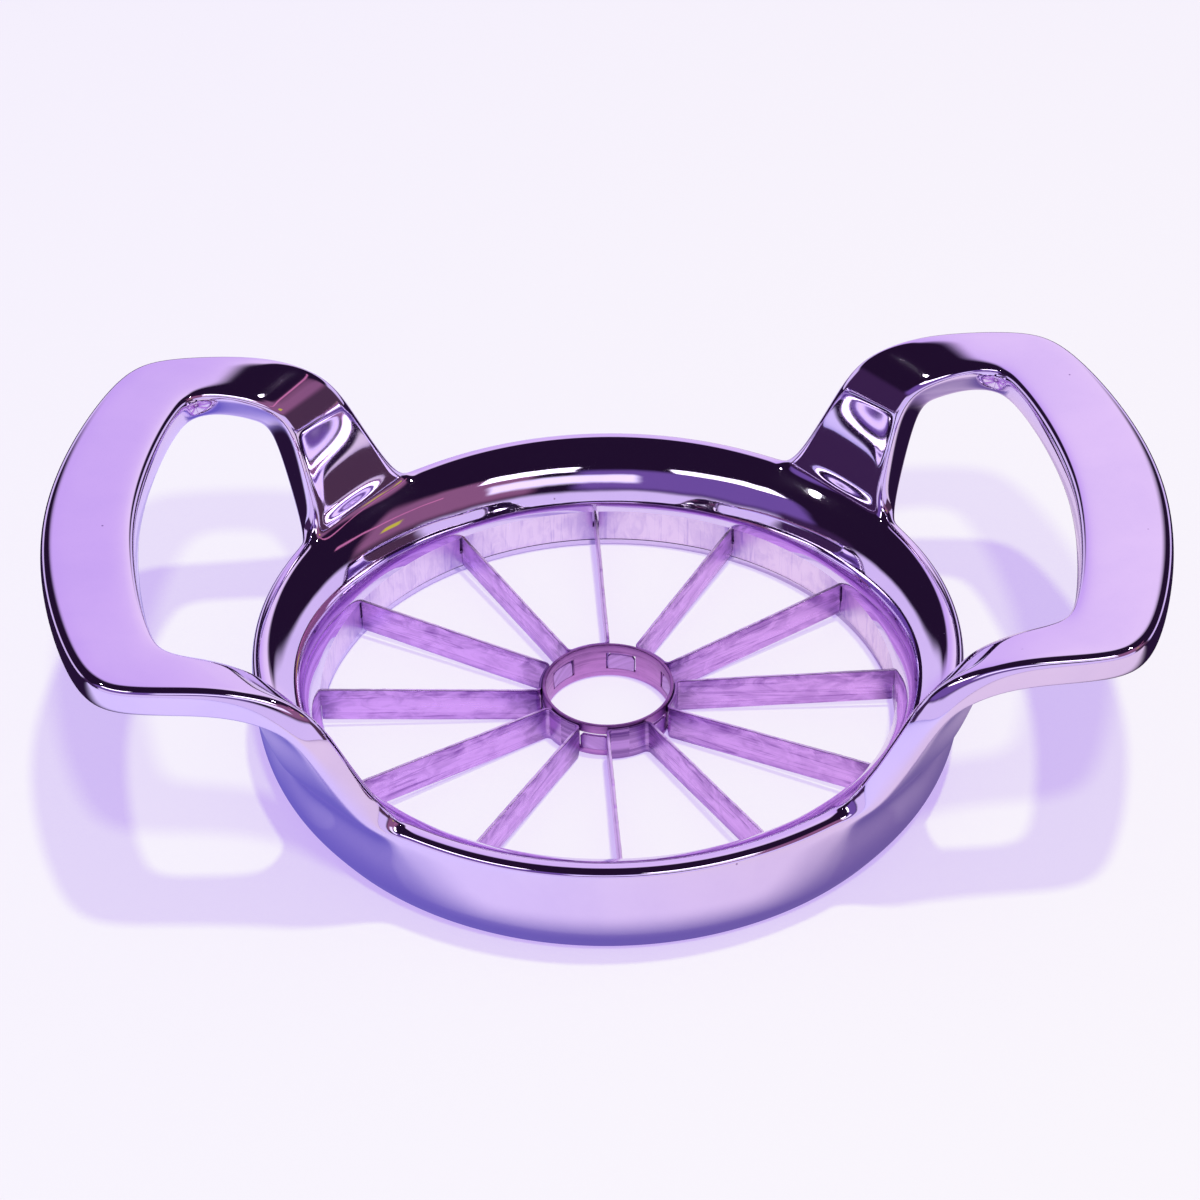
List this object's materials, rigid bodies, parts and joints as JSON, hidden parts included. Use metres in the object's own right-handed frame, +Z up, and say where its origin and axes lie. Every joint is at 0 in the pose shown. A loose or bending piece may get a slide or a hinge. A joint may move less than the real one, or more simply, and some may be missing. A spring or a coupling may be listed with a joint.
{
  "type": "apple slicer and corer",
  "caption": "Round apple slicer and corer with a raised loop handle on each side, pressed down by hand through an apple.",
  "frame": {"origin": "on the table, on the axis of the round frame", "axes": "+Z up, the handles' loops reach along +X and -X, the blades' sharp edges face -Z"},
  "size_m": [0.177, 0.116, 0.0453],
  "materials": {
    "chrome_plate": "mirror polished chrome plate on a zinc die casting",
    "band_steel": "plain stainless sheet, as rolled",
    "core_steel": "plain stainless sheet, lightly brushed",
    "blade_steel": "plain stainless sheet, lower edge ground"
  },
  "bodies": {
    "root": {"frame": "chrome_plate", "blade_band": "band_steel", "core_ring": "core_steel", "blade_pair_1": "blade_steel", "blade_pair_2": "blade_steel", "blade_pair_3": "blade_steel", "blade_pair_4": "blade_steel", "blade_pair_5": "blade_steel", "blade_pair_6": "blade_steel"}
  },
  "joints": []
}
